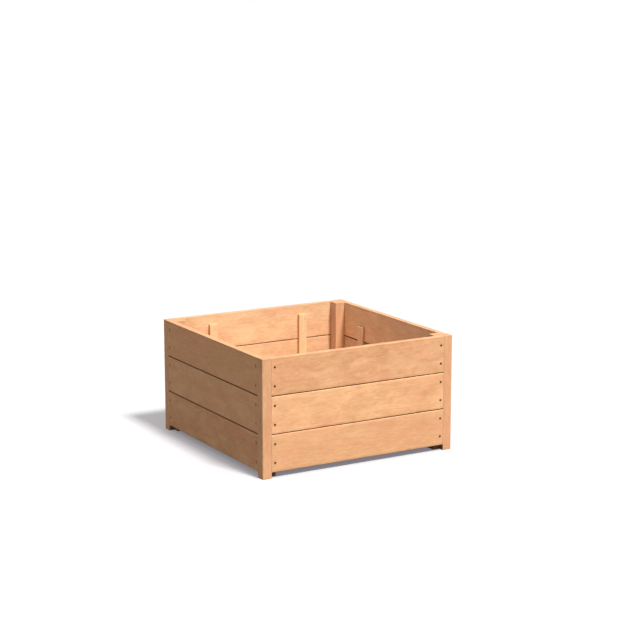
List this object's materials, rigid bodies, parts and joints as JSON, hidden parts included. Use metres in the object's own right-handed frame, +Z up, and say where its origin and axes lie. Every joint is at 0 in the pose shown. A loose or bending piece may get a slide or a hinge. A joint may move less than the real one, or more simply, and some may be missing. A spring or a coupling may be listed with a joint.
{
  "type": "square planter box",
  "caption": "Square open-topped timber planter box: boarded walls on rabbeted corner posts, inner battens and a slatted floor on bearers.",
  "frame": {"origin": "centre of the footprint, on the ground under the posts' feet", "axes": "+Z up, +X to the right along the front wall, +Y from the front wall to the back wall"},
  "size_m": [1, 1, 0.545],
  "materials": {
    "wall_wood": "planed hardwood with a clear satin oil",
    "post_wood": "planed hardwood with a clear satin oil",
    "batten_wood": "sawn and sanded hardwood, oiled",
    "floor_wood": "planed hardwood, unoiled",
    "screw_steel": "dark bronze coated steel",
    "pin_steel": "steel tinted to match the wood"
  },
  "bodies": {
    "root": {"back_batten_left": "batten_wood", "back_batten_pins": "pin_steel", "back_batten_right": "batten_wood", "back_bearer": "floor_wood", "back_bearer_screws": "screw_steel", "back_board_lower": "wall_wood", "back_board_middle": "wall_wood", "back_board_screws": "screw_steel", "back_board_upper": "wall_wood", "back_floor_screws": "screw_steel", "floor_board_1": "floor_wood", "floor_board_2": "floor_wood", "floor_board_3": "floor_wood", "floor_board_4": "floor_wood", "floor_board_5": "floor_wood", "floor_board_6": "floor_wood", "floor_board_7": "floor_wood", "front_batten_left": "batten_wood", "front_batten_pins": "pin_steel", "front_batten_right": "batten_wood", "front_bearer": "floor_wood", "front_bearer_screws": "screw_steel", "front_board_lower": "wall_wood", "front_board_middle": "wall_wood", "front_board_screws": "screw_steel", "front_board_upper": "wall_wood", "front_floor_screws": "screw_steel", "left_batten_back": "batten_wood", "left_batten_front": "batten_wood", "left_batten_pins": "pin_steel", "left_board_lower": "wall_wood", "left_board_middle": "wall_wood", "left_board_screws": "screw_steel", "left_board_upper": "wall_wood", "post_back_left": "post_wood", "post_back_right": "post_wood", "post_front_left": "post_wood", "post_front_right": "post_wood", "right_batten_back": "batten_wood", "right_batten_front": "batten_wood", "right_batten_pins": "pin_steel", "right_board_lower": "wall_wood", "right_board_middle": "wall_wood", "right_board_screws": "screw_steel", "right_board_upper": "wall_wood"}
  },
  "joints": []
}
